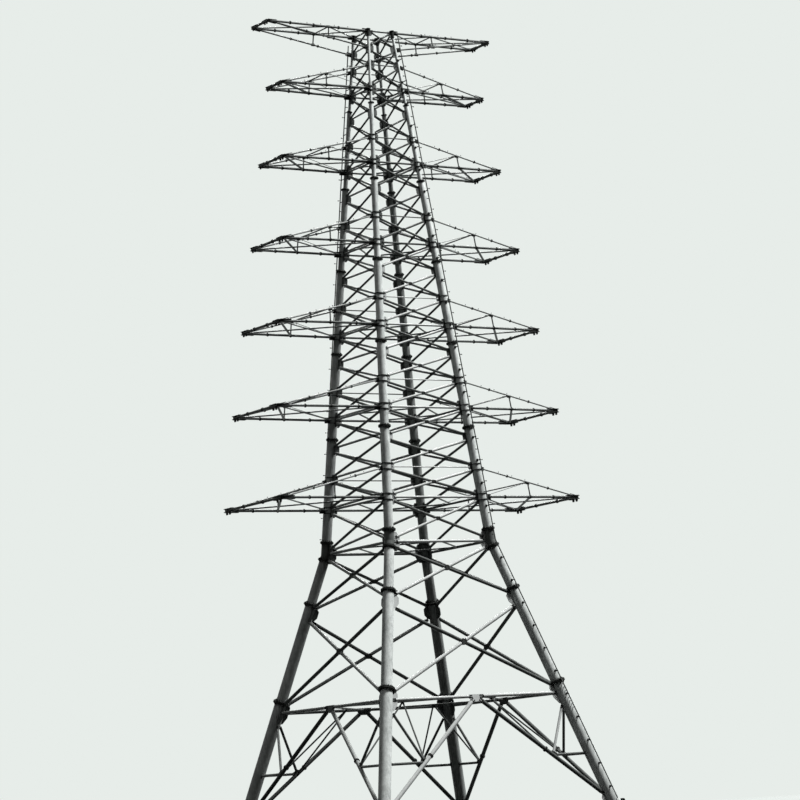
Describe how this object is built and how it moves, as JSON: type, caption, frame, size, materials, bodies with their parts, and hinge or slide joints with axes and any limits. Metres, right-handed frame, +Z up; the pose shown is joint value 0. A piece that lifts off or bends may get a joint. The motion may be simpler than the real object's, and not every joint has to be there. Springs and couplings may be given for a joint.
{
  "type": "lattice transmission tower, 1:2 scale model",
  "caption": "Tall square tower of bolted steel tube with crossarms on both sides in levels, for two lines of overhead wires, at half size.",
  "frame": {"origin": "centre of the square between the four feet, at ground level", "axes": "+X along the crossarms, +Y along the power line, +Z up"},
  "size_m": [13.08, 11.02, 29.8811],
  "materials": {
    "leg_steel": "satin",
    "bracing_steel": "satin",
    "arm_steel": "satin",
    "rail_steel": "satin"
  },
  "bodies": {
    "root": {"body_lower_back": "bracing_steel", "body_lower_front": "bracing_steel", "body_lower_left": "bracing_steel", "body_lower_right": "bracing_steel", "body_upper_back": "bracing_steel", "body_upper_front": "bracing_steel", "body_upper_left": "bracing_steel", "body_upper_right": "bracing_steel", "climbing_rail_back_left": "rail_steel", "climbing_rail_front_right": "rail_steel", "crossarm_1_left": "arm_steel", "crossarm_1_right": "arm_steel", "crossarm_2_left": "arm_steel", "crossarm_2_right": "arm_steel", "crossarm_3_left": "arm_steel", "crossarm_3_right": "arm_steel", "crossarm_4_left": "arm_steel", "crossarm_4_right": "arm_steel", "crossarm_5_left": "arm_steel", "crossarm_5_right": "arm_steel", "crossarm_6_left": "arm_steel", "crossarm_6_right": "arm_steel", "crossarm_top_left": "arm_steel", "crossarm_top_right": "arm_steel", "foot_bay_back": "bracing_steel", "foot_bay_front": "bracing_steel", "foot_bay_left": "bracing_steel", "foot_bay_right": "bracing_steel", "level_frame_arm_1": "bracing_steel", "level_frame_arm_2": "bracing_steel", "level_frame_arm_3": "bracing_steel", "level_frame_arm_4": "bracing_steel", "level_frame_arm_5": "bracing_steel", "level_frame_arm_6": "bracing_steel", "level_frame_belt": "bracing_steel", "level_frame_waist": "bracing_steel", "lower_leg_back_left": "leg_steel", "lower_leg_back_right": "leg_steel", "lower_leg_front_left": "leg_steel", "lower_leg_front_right": "leg_steel", "upper_leg_back_left": "leg_steel", "upper_leg_back_right": "leg_steel", "upper_leg_front_left": "leg_steel", "upper_leg_front_right": "leg_steel", "waist_bay_back": "bracing_steel", "waist_bay_front": "bracing_steel", "waist_bay_left": "bracing_steel", "waist_bay_right": "bracing_steel"}
  },
  "joints": []
}
